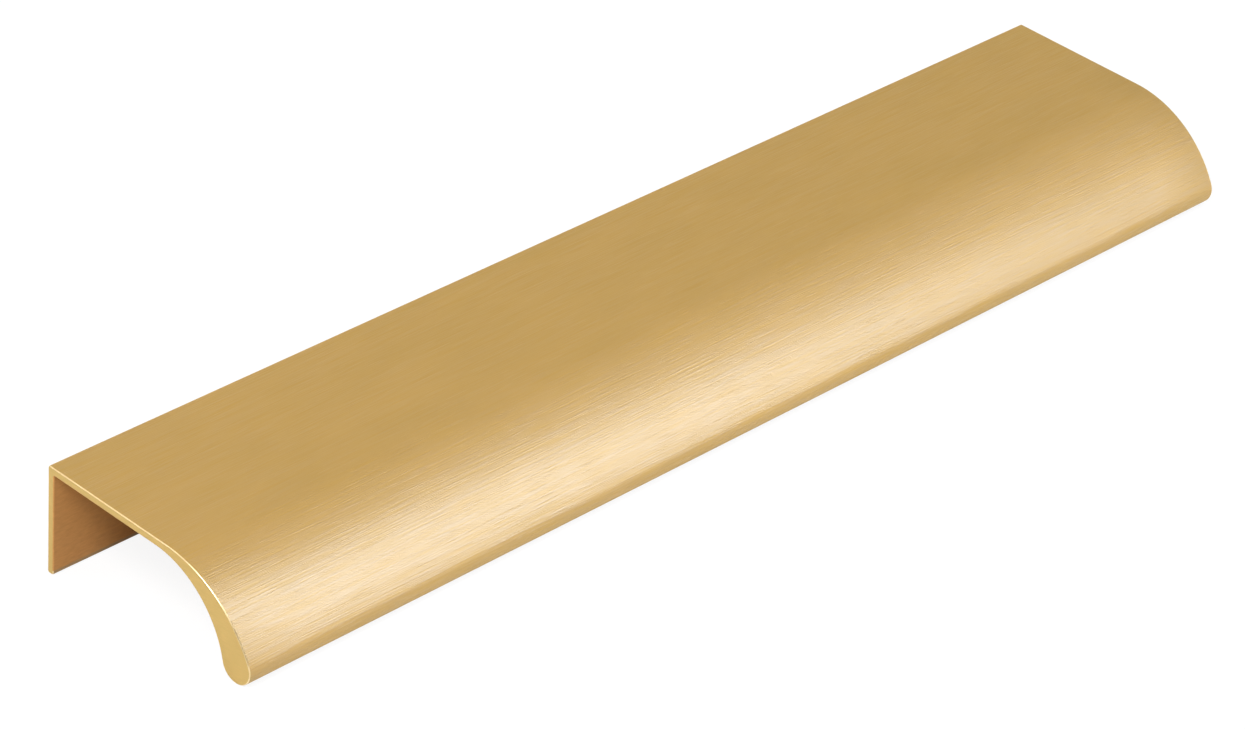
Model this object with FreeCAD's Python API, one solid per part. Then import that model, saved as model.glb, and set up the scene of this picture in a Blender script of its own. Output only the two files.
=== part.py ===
"""Finger pull profile for the edge of a cabinet door or drawer front.

One extruded aluminium bar. Its section is a back leg that hooks behind the door, a flat top that
lies on the door's edge, and a front lip that curves down and swells into a round bead for the fingers.
The leg has a countersunk screw hole near each end.

The section is drawn with s running forwards from the back of the leg and h running up from the top
face. The bar is stored as it rests on a level surface: on the foot of the leg and the bead of the lip.
X runs along the bar, -Y is its front and +Z is up. The origin is under the middle of the bar's box.
Sizes are in millimetres.
"""

import FreeCAD, Part
import math
import os

# Overall sizes
LENGTH = 200.0
DEPTH = 41.8
LEG_HEIGHT = 17.7
LIP_DROP = 14.5

# Walls of the extrusion
LEG_WALL = 1.2
TOP_WALL = 1.2

# Curves of the lip: its outside, its hollow inside and its bead
CROWN_RADIUS = 19.0
GRIP_RADIUS = 14.3
BEAD_RADIUS = 2.8

# Small corners of the section, and the broken edge round each sawn end
BACK_CORNER_RADIUS = 0.4
INNER_CORNER_RADIUS = 0.3
FOOT_CORNER_RADIUS = 0.4
SAWN_EDGE_RADIUS = 0.2

# Screw holes in the leg, each with a 90 degree countersink that opens on the back
HOLE_END_DISTANCE = 20.0
HOLE_DIAMETER = 4.0
COUNTERSINK_DEPTH = 0.8

# Two points of the section that are closer than this are one point
SAME_POINT = 1e-6

NODE = "finger_pull_profile"
RIGHT_ANGLE = math.pi / 2


def foot_radius():
    """The radius of the foot's two corners, at most a half-round over the leg's wall."""
    return min(FOOT_CORNER_RADIUS, LEG_WALL / 2)


def foot_centres():
    """The (s, h) of the middles of the foot's front and back corners."""
    height = foot_radius() - LEG_HEIGHT
    return (LEG_WALL - foot_radius(), height), (foot_radius(), height)


def bead_centre():
    """The (s, h) of the middle of the lip's bead."""
    return DEPTH - BEAD_RADIUS, BEAD_RADIUS - LIP_DROP


def crown_centre():
    """The middle of the outer arc, which leaves the top face and runs into the bead with no kink."""
    bead_s, bead_h = bead_centre()
    height = -CROWN_RADIUS
    reach = math.sqrt((CROWN_RADIUS - BEAD_RADIUS) ** 2 - (bead_h - height) ** 2)
    return bead_s - reach, height


def grip_centre():
    """The middle of the hollow inner arc, which leaves the underside and turns into the bead with no kink."""
    bead_s, bead_h = bead_centre()
    height = -(TOP_WALL + GRIP_RADIUS)
    reach = math.sqrt((GRIP_RADIUS + BEAD_RADIUS) ** 2 - (bead_h - height) ** 2)
    return bead_s - reach, height


def angle_between(start, end):
    """The angle of the line from one (s, h) to another, counted from forwards to up."""
    return math.atan2(end[1] - start[1], end[0] - start[0])


def on_circle(centre, radius, angle):
    """A point of the section at the bar's left end, on a circle round an (s, h)."""
    s = centre[0] + radius * math.cos(angle)
    h = centre[1] + radius * math.sin(angle)
    return FreeCAD.Vector(-LENGTH / 2, -s, h)


def arc(centre, radius, start, end):
    """An arc from one angle to another."""
    middle = (start + end) / 2
    points = [on_circle(centre, radius, angle) for angle in (start, middle, end)]
    return Part.Arc(*points).toShape()


def section_arcs():
    """The round stretches of the section, from the front of the top face round to its back."""
    bead, crown, grip = bead_centre(), crown_centre(), grip_centre()
    crown_to_bead = angle_between(crown, bead)
    grip_to_bead = angle_between(grip, bead)
    bead_to_grip = angle_between(bead, grip)
    inner_corner = (LEG_WALL + INNER_CORNER_RADIUS, -(TOP_WALL + INNER_CORNER_RADIUS))
    foot_front, foot_back = foot_centres()
    back_corner = (BACK_CORNER_RADIUS, -BACK_CORNER_RADIUS)
    return [
        arc(crown, CROWN_RADIUS, RIGHT_ANGLE, crown_to_bead),
        arc(bead, BEAD_RADIUS, crown_to_bead, bead_to_grip),
        arc(grip, GRIP_RADIUS, grip_to_bead, RIGHT_ANGLE),
        arc(inner_corner, INNER_CORNER_RADIUS, RIGHT_ANGLE, 2 * RIGHT_ANGLE),
        arc(foot_front, foot_radius(), 0, -RIGHT_ANGLE),
        arc(foot_back, foot_radius(), -RIGHT_ANGLE, -2 * RIGHT_ANGLE),
        arc(back_corner, BACK_CORNER_RADIUS, 2 * RIGHT_ANGLE, RIGHT_ANGLE),
    ]


def section():
    """The bar's section as a face: the arcs, with a straight stretch wherever two of them don't meet."""
    arcs = section_arcs()
    edges = []
    for this, following in zip(arcs, arcs[1:] + arcs[:1]):
        edges.append(this)
        end = this.lastVertex().Point
        start = following.firstVertex().Point
        if not end.isEqual(start, SAME_POINT):
            edges.append(Part.LineSegment(end, start).toShape())
    return Part.Face(Part.Wire(edges))


def bar():
    """The extruded length, with the edges of its two sawn ends broken."""
    stock = section().extrude(FreeCAD.Vector(LENGTH, 0, 0))
    ends = [face for face in stock.Faces if abs(face.normalAt(0, 0).x) > 0.5]
    return stock.makeFillet(SAWN_EDGE_RADIUS, [edge for face in ends for edge in face.Edges])


def screw_hole(x):
    """The cutter for one screw hole, half way up the leg's inner face. It starts a wall behind the leg."""
    forwards = FreeCAD.Vector(0, -1, 0)
    start = FreeCAD.Vector(x, LEG_WALL, -(TOP_WALL + LEG_HEIGHT) / 2)
    drill = Part.makeCylinder(HOLE_DIAMETER / 2, 3 * LEG_WALL, start, forwards)
    mouth_radius = HOLE_DIAMETER / 2 + COUNTERSINK_DEPTH + LEG_WALL
    countersink = Part.makeCone(mouth_radius, 0, mouth_radius, start, forwards)
    return drill.fuse(countersink)


def drilled_bar():
    """The bar with a screw hole near each end."""
    hole_x = LENGTH / 2 - HOLE_END_DISTANCE
    return bar().cut([screw_hole(-hole_x), screw_hole(hole_x)])


def lean_onto(foot):
    """The forward lean at which the bead and one corner of the foot touch the same level surface."""
    bead_s, bead_h = bead_centre()
    forwards, up = bead_s - foot[0], bead_h - foot[1]
    level = math.acos((BEAD_RADIUS - foot_radius()) / math.hypot(forwards, up))
    return level - math.atan2(forwards, up)


def rest_lean():
    """The forward lean at which the bar rests, on its bead and the lower corner of its foot."""
    return max(lean_onto(foot) for foot in foot_centres())


def at_rest(shape):
    """The shape leaning as it rests, with the origin under the middle of its box."""
    leaning = shape.copy()
    leaning.rotate(FreeCAD.Vector(0, 0, 0), FreeCAD.Vector(1, 0, 0), math.degrees(rest_lean()))
    box = leaning.optimalBoundingBox(False, False)
    leaning.translate(FreeCAD.Vector(-box.Center.x, -box.Center.y, -box.ZMin))
    return leaning


def main():
    """Writes the bar and prints its size."""
    os.makedirs("parts", exist_ok=True)
    profile = at_rest(drilled_bar())
    profile.exportStep(f"parts/{NODE}.step")
    box = profile.optimalBoundingBox(False, False)
    print(NODE, "solids", len(profile.Solids), "valid", profile.isValid(), "volume", round(profile.Volume, 1))
    print("box", round(box.XLength, 3), round(box.YLength, 3), round(box.ZLength, 3))
    print("leans forwards by", round(math.degrees(rest_lean()), 3), "degrees")


main()
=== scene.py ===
# %% [markdown]
# # A brushed gold finger pull profile
# The object is one length of aluminium profile: a handleless pull that hooks over the edge of a
# cabinet door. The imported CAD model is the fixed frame, which says how large the bar is and where
# it lies. The CAD mesh could be kept and given a material, but its loose triangles leave no place
# for a second finish inside or a bright line round the saw cuts. So this lesson draws the section
# again and sweeps it with Geometry Nodes, which gives clean strips of faces and a finish for each
# place.

import math
from collections import namedtuple
from functools import partial

import bpy
from mathutils import Matrix, Vector


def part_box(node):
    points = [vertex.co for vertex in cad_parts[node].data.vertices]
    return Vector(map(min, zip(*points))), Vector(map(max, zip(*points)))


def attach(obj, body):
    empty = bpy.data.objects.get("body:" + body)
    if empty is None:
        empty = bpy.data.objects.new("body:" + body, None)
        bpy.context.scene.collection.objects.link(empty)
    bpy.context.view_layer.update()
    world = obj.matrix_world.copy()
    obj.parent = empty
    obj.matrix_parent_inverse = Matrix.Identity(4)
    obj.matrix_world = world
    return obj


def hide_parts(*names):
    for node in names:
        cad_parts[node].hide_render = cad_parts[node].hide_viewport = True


NODE = "finger_pull_profile"
BODY = "root"
MM = 0.001

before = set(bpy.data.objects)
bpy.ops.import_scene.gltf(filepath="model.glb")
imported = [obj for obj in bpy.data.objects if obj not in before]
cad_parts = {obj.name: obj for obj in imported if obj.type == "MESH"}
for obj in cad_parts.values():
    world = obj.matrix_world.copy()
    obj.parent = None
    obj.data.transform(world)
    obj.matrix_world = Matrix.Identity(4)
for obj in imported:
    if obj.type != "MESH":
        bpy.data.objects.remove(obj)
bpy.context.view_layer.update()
node_low, node_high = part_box(NODE)
print("CAD box", [round(side / MM, 2) for side in node_high - node_low], "mm")

# %% [markdown]
# ## The section
# On the real bar the die gives the section: a thin leg behind the door, a flat top, and a lip that
# curves down to a round bead. It could be traced point by point, but a drawing office notes only a
# few sizes. So it is here: s runs forwards from the back of the leg, h runs up from the top face,
# and the middles of the arcs follow from the rule that each arc runs into the next with no kink.

# %% Sizes of the section
DEPTH = 41.8 * MM
LEG_HEIGHT = 17.7 * MM
LIP_DROP = 14.5 * MM
LEG_WALL = 1.2 * MM
TOP_WALL = 1.2 * MM
CROWN_RADIUS = 19.0 * MM
GRIP_RADIUS = 14.3 * MM
BEAD_RADIUS = 2.8 * MM

bead = Vector((DEPTH - BEAD_RADIUS, BEAD_RADIUS - LIP_DROP))


def beside_bead(height, distance):
    """The middle of an arc that touches the bead, at this height and this far from the bead's own."""
    reach = math.sqrt(distance ** 2 - (bead.y - height) ** 2)
    return Vector((bead.x - reach, height))


crown = beside_bead(-CROWN_RADIUS, CROWN_RADIUS - BEAD_RADIUS)
grip = beside_bead(-TOP_WALL - GRIP_RADIUS, GRIP_RADIUS + BEAD_RADIUS)
print("flat top ends", round(crown.x / MM, 2), "mm from the back")

# %% [markdown]
# ## Corners instead of points
# Geometry Nodes can round the corners of a polygon, so the outline needs no points along its arcs.
# An arc that follows another with no kink is a rounded corner too: its corner is where the tangents
# at its two ends cross. The bead turns by more than half a circle, which one corner can't do, so it
# gets two.

# %% Corners of the section
BACK_CORNER_RADIUS = 0.4 * MM
INNER_CORNER_RADIUS = 0.3 * MM
FOOT_CORNER_RADIUS = 0.4 * MM
QUARTER_TURN = math.pi / 2


def tangent_corner(centre, radius, start, end):
    """Where the tangents at two angles of a circle cross."""
    middle = (start + end) / 2
    reach = radius / math.cos((end - start) / 2)
    return centre + reach * Vector((math.cos(middle), math.sin(middle)))


def angle_of(way):
    """The angle of a way in the section, counted from forwards to up."""
    return math.atan2(way.y, way.x)


crown_end = angle_of(bead - crown)
grip_end = angle_of(bead - grip)
bead_end = grip_end - math.pi
bead_low = (crown_end + bead_end) / 2

Corner = namedtuple("Corner", "place radius inside")
corners = [
    Corner(Vector((0, 0)), BACK_CORNER_RADIUS, False),
    Corner(tangent_corner(crown, CROWN_RADIUS, QUARTER_TURN, crown_end), CROWN_RADIUS, False),
    Corner(tangent_corner(bead, BEAD_RADIUS, crown_end, bead_low), BEAD_RADIUS, False),
    Corner(tangent_corner(bead, BEAD_RADIUS, bead_low, bead_end), BEAD_RADIUS, False),
    Corner(tangent_corner(grip, GRIP_RADIUS, grip_end, QUARTER_TURN), GRIP_RADIUS, True),
    Corner(Vector((LEG_WALL, -TOP_WALL)), INNER_CORNER_RADIUS, True),
    Corner(Vector((LEG_WALL, -LEG_HEIGHT)), FOOT_CORNER_RADIUS, False),
    Corner(Vector((0, -LEG_HEIGHT)), FOOT_CORNER_RADIUS, False),
]
print(len(corners), "corners, of which", sum(corner.inside for corner in corners), "lie inside")

# %% [markdown]
# ## Points that keep the flats flat
# A smooth-shaded face bends its light towards its neighbours, and beside a tight corner that would
# bend a wide flat all the way across. Weighted normals could stop it, but they are lost when a mesh
# is edited. Modellers add a loop of edges close to the corner instead, and so each long straight
# stretch gets a plain point near both its ends.

# %% Guard points
GUARD = 0.3 * MM


def round_reach(i):
    """How far from corner i, along both of its sides, its round begins."""
    corner = corners[i]
    into = corner.place - corners[i - 1].place
    out = corners[(i + 1) % len(corners)].place - corner.place
    return corner.radius * math.tan(into.angle(out) / 2)


def guards_after(i):
    """The two guard points on the stretch after corner i, or none where it is too short for them."""
    corner, following = corners[i], (i + 1) % len(corners)
    side = corners[following].place - corner.place
    start = round_reach(i) + GUARD
    end = side.length - round_reach(following) - GUARD
    if end - start <= GUARD:
        return []
    return [Corner(corner.place + side.normalized() * way, 0.0, corner.inside) for way in (start, end)]


section = []
for i, corner in enumerate(corners):
    section += [corner, *guards_after(i)]
print(len(section), "points with the guards")

# %% [markdown]
# ## How the bar lies
# Put down on a table, the bar stands on the foot of its leg and on its bead. The leg is the longer
# one, so the top leans forwards by a few degrees. The lean could be measured on the CAD mesh, but
# two circles that touch the same level line give it exactly, and the box of the CAD bar then says
# how far the section moves.

# %% Rest pose
def rest_lean():
    """The forward lean at which the bead and the foot's front corner touch the same level surface."""
    foot = Vector((LEG_WALL - FOOT_CORNER_RADIUS, FOOT_CORNER_RADIUS - LEG_HEIGHT))
    way = bead - foot
    return math.acos((BEAD_RADIUS - FOOT_CORNER_RADIUS) / way.length) - math.atan2(way.x, way.y)


lean = rest_lean()
leaning_bead = Matrix.Rotation(lean, 3, "X") @ Vector((0, -bead.x, bead.y))
resting_bead = Vector((0, node_low.y + BEAD_RADIUS, node_low.z + BEAD_RADIUS))
rest = resting_bead - leaning_bead
print("leans by", round(math.degrees(lean), 2), "degrees")
print("moved by", [round(way / MM, 2) for way in rest], "mm")

# %% [markdown]
# ## Writing node trees
# Node trees are mostly wired by hand in the editor. In a script each node takes several lines, so a
# few helpers keep the trees short: add_node adds a node with its settings and inputs, and maths and
# vector_maths add a step of arithmetic.

# %% Helpers for node trees
def connect(tree, socket, value):
    """Gives an input a value, or a link from another node's output."""
    if isinstance(value, bpy.types.NodeSocket):
        tree.links.new(value, socket)
    else:
        socket.default_value = value


def add_node(tree, kind, settings=(), **inputs):
    """A node of this kind, with its settings, and inputs that are values or other nodes' outputs."""
    node = tree.nodes.new(kind)
    for name, value in dict(settings).items():
        setattr(node, name, value)
    for name, value in inputs.items():
        connect(tree, node.inputs[name.replace("_", " ")], value)
    return node


def step(tree, kind, operation, values):
    """A node of one step of arithmetic."""
    node = add_node(tree, kind, {"operation": operation})
    for socket, value in zip(node.inputs, values):
        connect(tree, socket, value)
    return node


def maths(tree, operation, *values):
    """The output of one Math node."""
    return step(tree, "ShaderNodeMath", operation, values).outputs["Value"]


def vector_maths(tree, operation, *values):
    """The output of one Vector Math node, which is a plain number for a product or a length."""
    result = "Value" if operation in ("DOT_PRODUCT", "LENGTH") else "Vector"
    return step(tree, "ShaderNodeVectorMath", operation, values).outputs[result]


print("helpers for node trees ready")

# %% [markdown]
# ## The finishes
# The bar is anodised: acid grows a clear skin of oxide on the aluminium, and gold dye fills it. So
# light comes back twice, white from the smooth skin and gold from the metal below. One glossy gold
# would give a gold highlight, but the real one is nearly white. So the Principled shader's coat
# plays the skin, and its metallic base plays the dyed metal. Every pattern is noise on Object
# coordinates, which stays on the bar wherever the camera goes.

# %% Helpers for patterns
NOISE_LOW, NOISE_HIGH = 0.3, 0.7


def noise(tree, size, detail, seed):
    """Noise whose blots are about this large, in mm, along X, Y and Z."""
    place = add_node(tree, "ShaderNodeTexCoord").outputs["Object"]
    scale = [1 / (side * MM) for side in size]
    moved = add_node(tree, "ShaderNodeMapping", Vector=place, Location=(seed, seed, seed), Scale=scale)
    texture = add_node(
        tree, "ShaderNodeTexNoise", Vector=moved.outputs["Vector"], Scale=1.0, Detail=detail
    )
    return texture.outputs["Fac"]


def between(tree, value, low, high, from_low=NOISE_LOW, from_high=NOISE_HIGH):
    """A value carried to a new range, from the range that noise mostly fills or from another."""
    carried = add_node(
        tree, "ShaderNodeMapRange", Value=value,
        From_Min=from_low, From_Max=from_high, To_Min=low, To_Max=high,
    )
    return carried.outputs["Result"]


def tinted(tree, value, low, high):
    """A colour between two, by a value in the range that noise mostly fills."""
    ramp = add_node(tree, "ShaderNodeValToRGB", Fac=value)
    for stop, place, colour in zip(ramp.color_ramp.elements, (NOISE_LOW, NOISE_HIGH), (low, high)):
        stop.position = place
        stop.color = (*colour, 1.0)
    return ramp.outputs["Color"]


print("noise mostly fills", NOISE_LOW, "to", NOISE_HIGH)

# %% Helpers for finishes
def new_material(name):
    """A material with an empty node tree."""
    material = bpy.data.materials.new(name)
    material.use_nodes = True
    material.node_tree.nodes.clear()
    return material, material.node_tree


def bumped(tree, height, depth):
    """The normal of a surface that noise lifts by up to this depth in mm."""
    bump = add_node(tree, "ShaderNodeBump", Strength=1.0, Distance=depth * MM, Height=height)
    return bump.outputs["Normal"]


def finished_by(tree, **inputs):
    """Ends a material's tree in a Principled shader with these inputs."""
    shader = add_node(tree, "ShaderNodeBsdfPrincipled", **inputs)
    add_node(tree, "ShaderNodeOutputMaterial", Surface=shader.outputs["BSDF"])


print("helpers for finishes ready")

# %% [markdown]
# ## Brushed gold
# A belt runs along the bar and leaves fine broken lines. A stretched picture of brushing would blur
# and repeat, so the lines are noise drawn out along the bar: fine lines, broad bands and a few
# flecks. They lift the surface a little, roughen the metal and thin the skin, while a slower noise
# varies the dye. The tangent runs round the bar, which spreads the highlight across the lines, as
# real brushing does.

# %% Brushed gold
FINE_SHARE = 0.8
FLECK_HEIGHT = 0.25
FLECKS_FROM, FLECKS_FULL = 0.69, 0.77
DYE_SHARE = 0.7


def brush_lines(tree):
    """The height of the brush lines: fine ones on broad bands, with a few flecks standing out."""
    fine = noise(tree, size=(7, 0.13, 0.13), detail=0, seed=3)
    broad = noise(tree, size=(25, 0.8, 0.8), detail=1, seed=11)
    spots = noise(tree, size=(5, 0.22, 0.22), detail=0, seed=23)
    flecks = between(tree, spots, 0.0, FLECK_HEIGHT, FLECKS_FROM, FLECKS_FULL)
    bands = maths(tree, "MULTIPLY_ADD", broad, 1 - FINE_SHARE, flecks)
    return maths(tree, "MULTIPLY_ADD", fine, FINE_SHARE, bands)


def brushed_gold_material():
    """The outside: gold metal with brush lines along the bar, under a satin skin."""
    material, tree = new_material("brushed_gold")
    lines = brush_lines(tree)
    dye = noise(tree, size=(14, 5, 5), detail=1, seed=31)
    tone = maths(tree, "MULTIPLY_ADD", dye, DYE_SHARE, maths(tree, "MULTIPLY", lines, 1 - DYE_SHARE))
    normal = bumped(tree, lines, depth=0.041)
    around = add_node(tree, "ShaderNodeTangent", {"direction_type": "RADIAL", "axis": "X"})
    finished_by(
        tree,
        Base_Color=tinted(tree, tone, low=(0.468, 0.293, 0.066), high=(0.492, 0.309, 0.074)),
        Roughness=between(tree, lines, low=0.74, high=0.84),
        Normal=normal,
        Tangent=around.outputs["Tangent"],
        Metallic=1.0,
        Anisotropic=0.5,
        Specular_Tint=(0.65, 0.45, 0.15, 1.0),
        Coat_Weight=between(tree, lines, low=0.56, high=0.92),
        Coat_Roughness=0.38,
        Coat_IOR=2.0,
        Coat_Normal=normal,
    )
    return material


brushed_gold = brushed_gold_material()
print(brushed_gold.name, "has", len(brushed_gold.node_tree.nodes), "nodes")

# %% [markdown]
# ## Matt gold, partly painted shade
# No belt reaches into the channel, so there the metal is as the die left it: duller. Its gold is
# deeper and redder, which partly paints the shade of the channel and the light that bounces between
# its gold walls. A pure metal would only mirror the dark of the channel. Unbrushed anodising
# scatters more light than that, so here the shader is mostly a plain surface with a little metal in
# it, and a fine grain.

# %% Matt gold
def matt_gold_material():
    """The inside of the channel: no brush lines, a fine grain, and a deeper gold partly painting shade.
    """
    material, tree = new_material("matt_shaded_gold")
    grain = noise(tree, size=(1.2, 0.3, 0.3), detail=3, seed=5)
    finished_by(
        tree,
        # The deeper, redder gold partly paints the shade and bounced light inside the channel.
        Base_Color=tinted(tree, grain, low=(0.515, 0.247, 0.066), high=(0.60, 0.296, 0.086)),
        Roughness=between(tree, grain, low=0.6, high=0.7),
        Normal=bumped(tree, grain, depth=0.01),
        Metallic=0.2,
    )
    return material


matt_shaded_gold = matt_gold_material()
print(matt_shaded_gold.name, "has", len(matt_shaded_gold.node_tree.nodes), "nodes")

# %% [markdown]
# ## Deburred gold, partly a painted highlight
# The saw leaves a sharp edge round each end, and a wheel rubs it off. That narrow round catches the
# light as a bright line. A pale stripe painted on the end would stay bright in the shade too, so
# the round is made as real faces later, and they get this smoother gold. Its paler colour is
# partly a painted highlight, which makes the line brighter than the lamps alone would.

# %% Deburred gold
def deburred_gold_material():
    """The sawn ends' broken edges and the drilled holes: rubbed by the tool, paler as a painted
    highlight.
    """
    material, tree = new_material("deburred_glint_gold")
    marks = noise(tree, size=(0.6, 0.6, 0.6), detail=2, seed=13)
    finished_by(
        tree,
        # The paler gold is partly a painted highlight that brightens the edge line.
        Base_Color=tinted(tree, marks, low=(0.74, 0.52, 0.19), high=(0.88, 0.66, 0.30)),
        Roughness=between(tree, marks, low=0.28, high=0.42),
        Metallic=1.0,
        Coat_Weight=1.0,
        Coat_Roughness=0.35,
        Coat_IOR=2.2,
    )
    return material


deburred_glint_gold = deburred_gold_material()
print(deburred_glint_gold.name, "has", len(deburred_glint_gold.node_tree.nodes), "nodes")

# %% [markdown]
# ## Sawn gold, partly painted light
# The bar is cut before it is dyed, so the cuts are gold too, and duller than the brushed skin. Their
# gold is also paler, which partly paints the light that the cut faces catch from the left. A
# blade leaves marks that run across the cut. They are too fine to model, so noise drawn out across
# the bar gives them as colour, roughness and a very low bump.

# %% Sawn gold
def sawn_gold_material():
    """The sawn ends: a paler gold that partly paints the light they catch, with the blade's fine marks.
    """
    material, tree = new_material("sawn_gold_with_painted_light")
    marks = noise(tree, size=(0.5, 2.5, 0.25), detail=3, seed=7)
    finished_by(
        tree,
        # The paler gold partly paints the light on the cut faces; the blade marks in it are real.
        Base_Color=tinted(tree, marks, low=(0.65, 0.483, 0.186), high=(0.725, 0.544, 0.232)),
        Roughness=between(tree, marks, low=0.75, high=0.88),
        Normal=bumped(tree, marks, depth=0.01),
        Metallic=1.0,
    )
    return material


sawn_gold_with_painted_light = sawn_gold_material()
print(sawn_gold_with_painted_light.name, "has", len(sawn_gold_with_painted_light.node_tree.nodes), "nodes")

# %% [markdown]
# ## The bar as one tree
# A press pushes the section out as a long bar, a saw cuts it, a wheel rubs its edges and a drill
# makes its holes. Modifiers in a row could do the same, but each knows only its own numbers. One
# Geometry Nodes tree holds the whole rule, and every size and finish is a named input of it. A
# modifier finds an input by its identifier, so each is noted with the value that it will get.

# %% Sizes along the bar
SAWN_EDGE_RADIUS = 0.2 * MM
RIM = 0.15 * MM
EDGE_STEPS = 6
SPAN_STEPS = 10
ARC_FINENESS = 700.0
HOLE_END_DISTANCE = 20.0 * MM
HOLE_DIAMETER = 4.0 * MM
COUNTERSINK_DEPTH = 0.8 * MM
HOLE_SIDES = 96

length = node_high.x - node_low.x
print("a bar of", round(length / MM, 1), "mm")

# %% The tree's inputs
bar_tree = bpy.data.node_groups.new("sawn_bar", "GeometryNodeTree")
bar_tree.is_modifier = True
for direction in ("OUTPUT", "INPUT"):
    bar_tree.interface.new_socket("Geometry", in_out=direction, socket_type="NodeSocketGeometry")

SIZES = {
    "Length": length,
    "Edge radius": SAWN_EDGE_RADIUS,
    "Rim": RIM,
    "Arc fineness": ARC_FINENESS,
    "Hole distance": length / 2 - HOLE_END_DISTANCE,
    "Hole height": -(TOP_WALL + LEG_HEIGHT) / 2,
    "Hole radius": HOLE_DIAMETER / 2,
    "Countersink depth": COUNTERSINK_DEPTH,
    "Leg wall": LEG_WALL,
    "Lean": lean,
}
COUNTS = {"Edge steps": EDGE_STEPS, "Span steps": SPAN_STEPS, "Hole sides": HOLE_SIDES}
PLACES = {"Rest": rest}
FINISHES = {"Outside": brushed_gold, "Inside": matt_shaded_gold, "Edges": deburred_glint_gold, "Ends": sawn_gold_with_painted_light}

bar_values = {}
for kind, group in (("Float", SIZES), ("Int", COUNTS), ("Vector", PLACES), ("Material", FINISHES)):
    for name, value in group.items():
        socket = bar_tree.interface.new_socket(name, in_out="INPUT", socket_type=f"NodeSocket{kind}")
        bar_values[socket.identifier] = value

inputs = bar_tree.nodes.new("NodeGroupInput").outputs
bar_node = partial(add_node, bar_tree)
bar_maths = partial(maths, bar_tree)
bar_vector = partial(vector_maths, bar_tree)
print(len(bar_values), "inputs")

# %% [markdown]
# ## Rounding the outline
# The die's corners are round. Fillet Curve gives each corner of the polygon its own radius, and a
# larger arc gets more points. Where one arc runs into the next, both end on the same place, and two
# points there would make faces of no width. So the outline becomes a wire for a moment, in which
# Merge by Distance joins such points.

# %% The outline with its corners rounded
SAME_POINT = 0.0001 * MM


def drawn_mark(name):
    """A number that the drawing carries on each of its points."""
    mark = bar_node("GeometryNodeInputNamedAttribute", {"data_type": "FLOAT"}, Name=name)
    return mark.outputs["Attribute"]


radius = drawn_mark("corner_radius")
arc_points = bar_maths("MULTIPLY", bar_maths("SQRT", radius), inputs["Arc fineness"])
polygon = bar_node("GeometryNodeMeshToCurve", Mesh=inputs["Geometry"]).outputs["Curve"]
rounded = bar_node(
    "GeometryNodeFilletCurve", {"mode": "POLY"}, Curve=polygon, Radius=radius, Count=arc_points
).outputs["Curve"]
wire = bar_node("GeometryNodeCurveToMesh", Curve=rounded).outputs["Mesh"]
joined = bar_node("GeometryNodeMergeByDistance", Geometry=wire, Distance=SAME_POINT).outputs["Geometry"]
outline = bar_node("GeometryNodeMeshToCurve", Mesh=joined).outputs["Curve"]
print("the largest arc gets", round(math.sqrt(CROWN_RADIUS) * ARC_FINENESS), "points")

# %% [markdown]
# ## The sweep
# Curve to Mesh carries the outline along a rail and leaves a ring of points at every point of the
# rail. It turns the outline as the rail turns, which is hard to foresee, so each point's place in
# the drawing is captured first, and the rings are placed by that later. The way inwards is captured
# too, because the broken edges need it.

# %% The sweep
def capture(geometry, **fields):
    """Holds fields on a geometry's points under these names, so that later nodes still find them."""
    node = bar_tree.nodes.new("GeometryNodeCaptureAttribute")
    bar_tree.links.new(geometry, node.inputs["Geometry"])
    for name, (kind, field) in fields.items():
        node.capture_items.new(kind, name)
        bar_tree.links.new(field, node.inputs[name])
    return node.outputs


position = bar_node("GeometryNodeInputPosition").outputs["Position"]
tangent = bar_node("GeometryNodeInputTangent").outputs["Tangent"]
index = bar_node("GeometryNodeInputIndex").outputs["Index"]
towards_inside = bar_vector("CROSS_PRODUCT", tangent, (0.0, 0.0, 1.0))
drawn = capture(outline, place=("VECTOR", position), inwards=("VECTOR", towards_inside))

half_rings = bar_maths("ADD", bar_maths("ADD", inputs["Edge steps"], inputs["Span steps"]), 1.0)
last_ring = bar_maths("MULTIPLY", half_rings, 2.0)
ring_count = bar_maths("ADD", last_ring, 1.0)
rail_line = bar_node("GeometryNodeMeshLine", Count=ring_count, Offset=(length, 0.0, 0.0))
rail_curve = bar_node("GeometryNodeMeshToCurve", Mesh=rail_line.outputs["Mesh"]).outputs["Curve"]
rail = capture(rail_curve, ring=("INT", index))
swept = bar_node(
    "GeometryNodeCurveToMesh", Curve=rail["Geometry"], Profile_Curve=drawn["Geometry"], Fill_Caps=True
).outputs["Mesh"]
print("swept through", 2 * (EDGE_STEPS + SPAN_STEPS + 1) + 1, "rings")

# %% [markdown]
# ## Broken edges
# The wheel rounds the edge of each cut by a fifth of a millimetre. A Bevel modifier would have to
# be told which edges are meant. Here the rings do it: counted from the nearer end, the first lies
# flat on the cut and keeps its shading flat, and the next few step outwards and along by a quarter
# circle.

# %% How far each ring steps inwards
ring = rail["ring"]
from_end = bar_maths("MINIMUM", ring, bar_maths("SUBTRACT", last_ring, ring))
past_rim = bar_maths("SUBTRACT", from_end, 1.0)
edge_share = bar_maths("DIVIDE", past_rim, inputs["Edge steps"])
edge_share = bar_node("ShaderNodeClamp", Value=edge_share).outputs["Result"]
edge_angle = bar_maths("MULTIPLY", edge_share, QUARTER_TURN)
step_in = bar_maths("SUBTRACT", 1.0, bar_maths("SINE", edge_angle))
on_rim = bar_maths("LESS_THAN", from_end, 1.0)
rim_inset = bar_maths("MULTIPLY", on_rim, inputs["Rim"])
inset = bar_maths("MULTIPLY_ADD", step_in, inputs["Edge radius"], rim_inset)
print("the edge takes", EDGE_STEPS, "steps round", SAWN_EDGE_RADIUS / MM, "mm")

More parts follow.
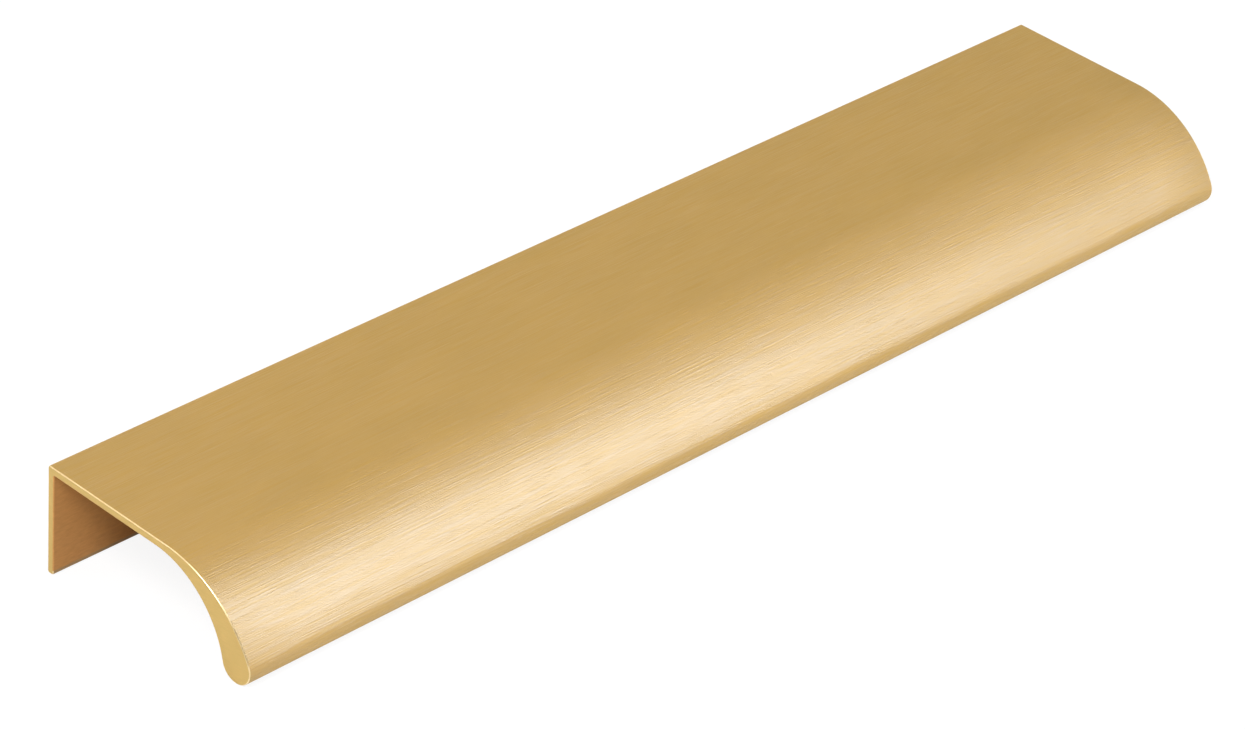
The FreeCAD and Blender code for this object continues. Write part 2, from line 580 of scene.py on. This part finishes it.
# %% [markdown]
# ## Rings along the bar
# Between the broken edges the bar is straight, so two rings would be enough for its shape. A few
# more keep the faces from growing into long splinters, which drilling would shade badly. Each ring
# then takes its place: along the bar from its number, and across it from the drawing, moved inwards
# by what the edge asks.

# %% Placing the rings
step_along = bar_maths("SUBTRACT", 1.0, bar_maths("COSINE", edge_angle))
half_length = bar_maths("MULTIPLY", inputs["Length"], 0.5)
span = bar_maths("SUBTRACT", half_length, inputs["Edge radius"])
span_step = bar_maths("DIVIDE", span, inputs["Span steps"])
past_edge = bar_maths("MAXIMUM", bar_maths("SUBTRACT", past_rim, inputs["Edge steps"]), 0.0)
way_past_edge = bar_maths("MULTIPLY", past_edge, span_step)
way_from_end = bar_maths("MULTIPLY_ADD", step_along, inputs["Edge radius"], way_past_edge)
side = bar_maths("SIGN", bar_maths("SUBTRACT", ring, half_rings))
x = bar_maths("MULTIPLY", side, bar_maths("SUBTRACT", half_length, way_from_end))

across = bar_vector("MULTIPLY_ADD", drawn["inwards"], inset, drawn["place"])
across = bar_node("ShaderNodeSeparateXYZ", Vector=across).outputs
y = bar_maths("MULTIPLY", across["X"], -1.0)
ring_place = bar_node("ShaderNodeCombineXYZ", X=x, Y=y, Z=across["Y"]).outputs["Vector"]
placed = bar_node("GeometryNodeSetPosition", Geometry=swept, Position=ring_place).outputs["Geometry"]
print("rings every", round((length / 2 - SAWN_EDGE_RADIUS) / SPAN_STEPS / MM, 2), "mm")

# %% [markdown]
# ## A finish for each place
# The belt reaches only the outside, and the wheel only the edges. Faces could be picked by number,
# but the numbers change with every size. The drawing's marks and the ring numbers don't: a face
# whose points are all marked as inside is matt, and a face between the first and the last ring of
# an edge is deburred. The inside comes last, because the wheel leaves its edges as they are.

# %% Finishes outside, inside and on the edges
ALL_POINTS = 0.9


def finish(geometry, name, faces=True):
    """Gives some faces, or all of them, the finish of this name."""
    node = bar_node(
        "GeometryNodeSetMaterial", Geometry=geometry, Selection=faces, Material=inputs[name]
    )
    return node.outputs["Geometry"]


inside = bar_maths("GREATER_THAN", drawn_mark("inside"), ALL_POINTS)
before_span = bar_maths("LESS_THAN", past_rim, inputs["Edge steps"])
on_edge = bar_maths("MULTIPLY", bar_maths("GREATER_THAN", past_rim, 0.0), before_span)
sawn = finish(placed, "Outside")
sawn = finish(sawn, "Edges", on_edge)
sawn = finish(sawn, "Inside", inside)
print("finishes so far: Outside, Inside, Edges")

# %% [markdown]
# ## Screw holes
# Two screws hold the leg to the back of the door, so it is drilled near each end and countersunk
# from behind. A round hole could be modelled into the grid of faces by hand, but it would tie the
# grid to the hole. Mesh Boolean takes a tool away instead. A drill and a cone would meet in one
# ring and leave slivers there, so the tool is one form, as a stepped drill is: a cylinder with a
# ring half way along, whose back end flares into the cone. It starts a wall's thickness behind the
# leg and runs on well past it.

# %% A drill that flares
DRILL_WALLS = 3.0

blank = bar_node(
    "GeometryNodeMeshCylinder", Vertices=inputs["Hole sides"], Side_Segments=2, Radius=1.0, Depth=2.0
).outputs["Mesh"]
blank_place = bar_node("ShaderNodeSeparateXYZ", Vector=position).outputs
flare = bar_maths("MAXIMUM", bar_maths("MULTIPLY", blank_place["Z"], -1.0), 0.0)
onwards = bar_maths("MAXIMUM", blank_place["Z"], 0.0)

flare_height = bar_maths("ADD", inputs["Countersink depth"], inputs["Leg wall"])
drill_length = bar_maths("MULTIPLY", inputs["Leg wall"], DRILL_WALLS)
tool_radius = bar_maths("MULTIPLY_ADD", flare, flare_height, inputs["Hole radius"])
up_the_flare = bar_maths("MULTIPLY", bar_maths("SUBTRACT", 1.0, flare), flare_height)
tool_x = bar_maths("MULTIPLY", blank_place["X"], tool_radius)
tool_y = bar_maths("MULTIPLY", blank_place["Y"], tool_radius)
tool_z = bar_maths("MULTIPLY_ADD", onwards, drill_length, up_the_flare)
tool_place = bar_node("ShaderNodeCombineXYZ", X=tool_x, Y=tool_y, Z=tool_z).outputs["Vector"]
tool = bar_node("GeometryNodeSetPosition", Geometry=blank, Position=tool_place).outputs["Geometry"]
print("holes of", HOLE_DIAMETER / MM, "mm,", HOLE_END_DISTANCE / MM, "mm from the ends")

# %% Drilling at both places
first_x = bar_maths("MULTIPLY", inputs["Hole distance"], -1.0)
between_holes = bar_maths("MULTIPLY", inputs["Hole distance"], 2.0)
first_hole = bar_node("ShaderNodeCombineXYZ", X=first_x, Z=inputs["Hole height"]).outputs["Vector"]
hole_step = bar_node("ShaderNodeCombineXYZ", X=between_holes).outputs["Vector"]
hole_places = bar_node(
    "GeometryNodeMeshLine", Count=2, Start_Location=first_hole, Offset=hole_step
).outputs["Mesh"]
behind_leg = bar_node("ShaderNodeCombineXYZ", Y=inputs["Leg wall"]).outputs["Vector"]
forwards = bar_node(
    "GeometryNodeTransform",
    Geometry=finish(tool, "Edges"), Translation=behind_leg, Rotation=(QUARTER_TURN, 0.0, 0.0),
).outputs["Geometry"]
both = bar_node("GeometryNodeInstanceOnPoints", Points=hole_places, Instance=forwards)
both = bar_node("GeometryNodeRealizeInstances", Geometry=both.outputs["Instances"]).outputs["Geometry"]

drilling = bar_node("GeometryNodeMeshBoolean", {"operation": "DIFFERENCE", "solver": "EXACT"})
bar_tree.links.new(sawn, drilling.inputs["Mesh 1"])
bar_tree.links.new(both, drilling.inputs["Mesh 2"])
drilled = drilling.outputs["Mesh"]
print("drilled by", drilling.name)

# %% [markdown]
# ## Laying the bar down
# The finished bar is laid on the floor as it rests. Turning the object would do, but then its
# patterns would turn with it in the export, so Transform Geometry turns the mesh and the object
# stays at the origin. The tree ends with the sawn ends, which are the only faces that look straight
# along the bar.

# %% Laying the bar down
STRAIGHT_ALONG = 0.99

turn = bar_node("ShaderNodeCombineXYZ", X=inputs["Lean"]).outputs["Vector"]
lying = bar_node("GeometryNodeTransform", Geometry=drilled, Translation=inputs["Rest"], Rotation=turn)
whole = bar_node("GeometryNodeRealizeInstances", Geometry=lying.outputs["Geometry"]).outputs["Geometry"]
normal = bar_node("GeometryNodeInputNormal").outputs["Normal"]
along = bar_maths("ABSOLUTE", bar_node("ShaderNodeSeparateXYZ", Vector=normal).outputs["X"])
finished = finish(whole, "Ends", bar_maths("GREATER_THAN", along, STRAIGHT_ALONG))
bar_node("NodeGroupOutput", Geometry=finished)
print(len(bar_tree.nodes), "nodes in the tree")

# %% [markdown]
# ## Running the tree
# The tree starts from the drawing: a loop of edges, with two marks on each point. A modifier runs
# it. The modifier could stay live, but other programs can't read it, so its result is kept as a
# plain mesh. Smooth shading rounds the arcs, and edges that turn by more than 30 degrees stay
# sharp.

# %% The drawing as a mesh
def section_drawing():
    """The corners and guard points as a closed loop of edges, with each point's radius and side."""
    drawing = bpy.data.meshes.new("section_drawing")
    count = len(section)
    edges = [(i, (i + 1) % count) for i in range(count)]
    drawing.from_pydata([(*corner.place, 0.0) for corner in section], edges, [])
    marks = {
        "corner_radius": [corner.radius for corner in section],
        "inside": [float(corner.inside) for corner in section],
    }
    for name, values in marks.items():
        drawing.attributes.new(name, "FLOAT", "POINT").data.foreach_set("value", values)
    return drawing


drawing = section_drawing()
print("drawing of", len(drawing.edges), "edges")

# %% Running the tree
SHARP_ANGLE = math.radians(30)


def add_object(name, data):
    """A new object in the scene."""
    thing = bpy.data.objects.new(name, data)
    bpy.context.scene.collection.objects.link(thing)
    return thing


def made_by_nodes(name, start, tree, values):
    """An object whose plain mesh is what the tree makes of a first mesh."""
    piece = add_object(name, start)
    modifier = piece.modifiers.new(tree.name, "NODES")
    modifier.node_group = tree
    for identifier, value in values.items():
        modifier[identifier] = value
    evaluated = piece.evaluated_get(bpy.context.evaluated_depsgraph_get())
    mesh = bpy.data.meshes.new_from_object(evaluated)
    piece.modifiers.remove(modifier)
    piece.data = mesh
    mesh.name = name
    mesh.shade_smooth()
    mesh.set_sharp_from_angle(angle=SHARP_ANGLE)
    return piece


bar = made_by_nodes("brushed_gold_bar", drawing, bar_tree, bar_values)
print(bar.name, len(bar.data.vertices), "points", len(bar.data.polygons), "faces")
print("finishes", [material.name for material in bar.data.materials])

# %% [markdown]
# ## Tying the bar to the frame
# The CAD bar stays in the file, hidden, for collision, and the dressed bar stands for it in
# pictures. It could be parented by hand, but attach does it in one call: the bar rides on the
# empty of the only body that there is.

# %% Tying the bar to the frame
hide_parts(NODE)
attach(bar, BODY)
print(bar.name, "replaces", NODE, "and rides on", BODY)

# %% [markdown]
# ## The floor
# The bar lies on a white studio floor. Enough light to make paint look white would burn out the
# gold, so the camera sees the floor mostly as a plain white glow, mixed with some lit paint that
# keeps the soft shadow. Light that bounces up to the bar sees a greyer paint, as the floor of a
# real studio is darker away from the lamps.

# %% Floor
FLOOR_SIZE = 6.0
SEEN_GLOW = 0.9
MIRRORED_GLOW = 0.2
SEEN_PAINT = 0.92
PAINT = 0.58


def floor_material():
    """White to the camera with a faint shadow, and grey paint to the light that bounces."""
    material, tree = new_material("pale_floor")
    rays = add_node(tree, "ShaderNodeLightPath").outputs
    mirrored = maths(tree, "MAXIMUM", rays["Is Glossy Ray"], rays["Is Transmission Ray"])
    seen_share = maths(tree, "MULTIPLY", rays["Is Camera Ray"], SEEN_GLOW)
    glow_share = maths(tree, "MAXIMUM", seen_share, maths(tree, "MULTIPLY", mirrored, MIRRORED_GLOW))
    grey = between(tree, rays["Is Camera Ray"], PAINT, SEEN_PAINT, from_low=0.0, from_high=1.0)
    paint = add_node(tree, "ShaderNodeBsdfDiffuse", Color=grey)
    glow = add_node(tree, "ShaderNodeEmission", Color=(1.0, 1.0, 1.0, 1.0), Strength=1.0)
    mix = add_node(tree, "ShaderNodeMixShader", Fac=glow_share)
    tree.links.new(paint.outputs["BSDF"], mix.inputs[1])
    tree.links.new(glow.outputs["Emission"], mix.inputs[2])
    add_node(tree, "ShaderNodeOutputMaterial", Surface=mix.outputs["Shader"])
    return material


half_floor = FLOOR_SIZE / 2
corner_signs = ((-1, -1), (1, -1), (1, 1), (-1, 1))
floor_corners = [(sx * half_floor, sy * half_floor, 0.0) for sx, sy in corner_signs]
floor_mesh = bpy.data.meshes.new("floor")
floor_mesh.from_pydata(floor_corners, [], [(0, 1, 2, 3)])
floor_mesh.materials.append(floor_material())
floor = add_object("floor", floor_mesh)
print("floor of", FLOOR_SIZE, "m")

# %% [markdown]
# ## The room
# Brushed metal shows the room around it as broad patches of light and dark. A picture of a real
# room would bring in things that don't belong to the bar, and one grey all over would leave the
# metal flat. So the world is a ramp from a light ceiling, a little forwards of the bar, down to
# dark walls.

# %% World
LIGHT_SIDE = (0.0, -0.14, 0.99)
LIGHT_LEVEL = 0.56
DARK_LEVEL = 0.034

world = bpy.data.worlds.new("studio")
world.use_nodes = True
world_tree = world.node_tree
background = world_tree.nodes["Background"]
towards = add_node(world_tree, "ShaderNodeTexCoord").outputs["Generated"]
lit = vector_maths(world_tree, "DOT_PRODUCT", towards, LIGHT_SIDE)
level = between(world_tree, lit, DARK_LEVEL, LIGHT_LEVEL, from_low=-1.0, from_high=1.0)
connect(world_tree, background.inputs["Color"], (1.0, 1.0, 1.0, 1.0))
connect(world_tree, background.inputs["Strength"], level)
bpy.context.scene.world = world
print("room from", DARK_LEVEL, "to", LIGHT_LEVEL)

# %% [markdown]
# ## Softboxes
# The long highlight on the lip is the picture of a lamp in a cloth box. An even lamp would print a
# stripe with hard edges, so each softbox fades from a bright core to nothing at its rim, through
# nodes on the lamp itself. A lamp's power spreads over its area, so the power is worked out from
# the level that its core should have.

# %% A softbox that fades
LAMP_MIDDLE = (0.5, 0.5, 0.0)
LAMP_REACH = 0.5


def softbox(name, place, aim, width, height, core, level, colour):
    """An oval lamp. Its core, a share of its reach, shines at this level and fades to the rim."""
    light = bpy.data.lights.new(name, "AREA")
    light.shape = "ELLIPSE"
    light.size = width
    light.size_y = height
    light.energy = level * math.pi * width * height
    light.color = colour
    light.use_nodes = True
    tree = light.node_tree
    spot = add_node(tree, "ShaderNodeNewGeometry").outputs["Parametric"]
    from_middle = vector_maths(tree, "LENGTH", vector_maths(tree, "SUBTRACT", spot, LAMP_MIDDLE))
    fade = add_node(
        tree, "ShaderNodeMapRange", {"interpolation_type": "SMOOTHSTEP"}, Value=from_middle,
        From_Min=core * LAMP_REACH, From_Max=LAMP_REACH, To_Min=1.0, To_Max=0.0,
    ).outputs["Result"]
    connect(tree, tree.nodes["Emission"].inputs["Strength"], fade)
    lamp = add_object(name, light)
    lamp.location = place
    lamp.rotation_mode = "QUATERNION"
    lamp.rotation_quaternion = (Vector(place) - Vector(aim)).to_track_quat("Z", "Y")


print("softboxes ready")

# %% [markdown]
# ## Five lamps
# The key box stands in front on the right, where the lip mirrors it to the camera, and a faint box
# higher up carries its light over the crown. Two boxes on the left light the near end: one shines
# into the channel, and one grazes the rim. The last one keeps the back of the leg from going dark.
# The first two are slightly cool, which takes the yellow out of the highlight.

# %% The lamps
WHITE = (1.0, 1.0, 1.0)
COOL_WHITE = (0.93, 1.0, 1.0)
BAR_MIDDLE = (0.0, 0.0, 0.0)
NEAR_END = (-0.1, 0.0, 0.0)

softbox(
    "key_softbox", place=(0.57, -0.82, 0.57), aim=BAR_MIDDLE,
    width=0.52, height=2.1, core=0.55, level=7.45, colour=COOL_WHITE,
)
softbox(
    "crown_softbox", place=(0.75, -0.08, 0.95), aim=BAR_MIDDLE,
    width=0.7, height=0.7, core=0.2, level=0.9, colour=COOL_WHITE,
)
softbox(
    "end_softbox", place=(-0.68, -0.24, 0.91), aim=NEAR_END,
    width=0.6, height=0.5, core=0.4, level=25.0, colour=WHITE,
)
softbox(
    "rim_softbox", place=(-0.72, 0.54, 0.79), aim=NEAR_END,
    width=0.9, height=0.5, core=0.3, level=4.0, colour=WHITE,
)
softbox(
    "back_softbox", place=(0.10, 1.10, 0.40), aim=BAR_MIDDLE,
    width=1.4, height=0.5, core=0.3, level=3.0, colour=WHITE,
)
print(len(bpy.data.lights), "lamps")

# %% [markdown]
# ## The camera
# The picture looks down on the near end from the front left, through a long lens. A place could be
# found by eye, but the bar's long straight edges show the least error at once. So the camera was
# fitted to those edges and to the curves of both ends, and the numbers here are the result. There
# is no depth of field: the whole bar is sharp.

# %% Camera
EYE = Vector((-457.94, -445.44, 360.90)) * MM
AIM = Vector((-6.83, 2.72, 3.59)) * MM
ROLL = math.radians(0.52)
LENS = 144.19
FILM_WIDTH = 36.0
NEAREST_SEEN = 0.01

camera_data = bpy.data.cameras.new("photo_camera")
camera_data.lens = LENS
camera_data.sensor_width = FILM_WIDTH
camera_data.clip_start = NEAREST_SEEN
camera = add_object("photo_camera", camera_data)
view = (AIM - EYE).to_track_quat("-Z", "Y").to_matrix().to_4x4()
camera.matrix_world = Matrix.Translation(EYE) @ view @ Matrix.Rotation(ROLL, 4, "Z")
bpy.context.scene.camera = camera
bpy.context.scene.view_settings.view_transform = "Standard"
print("camera", round((AIM - EYE).length, 3), "m from the bar")
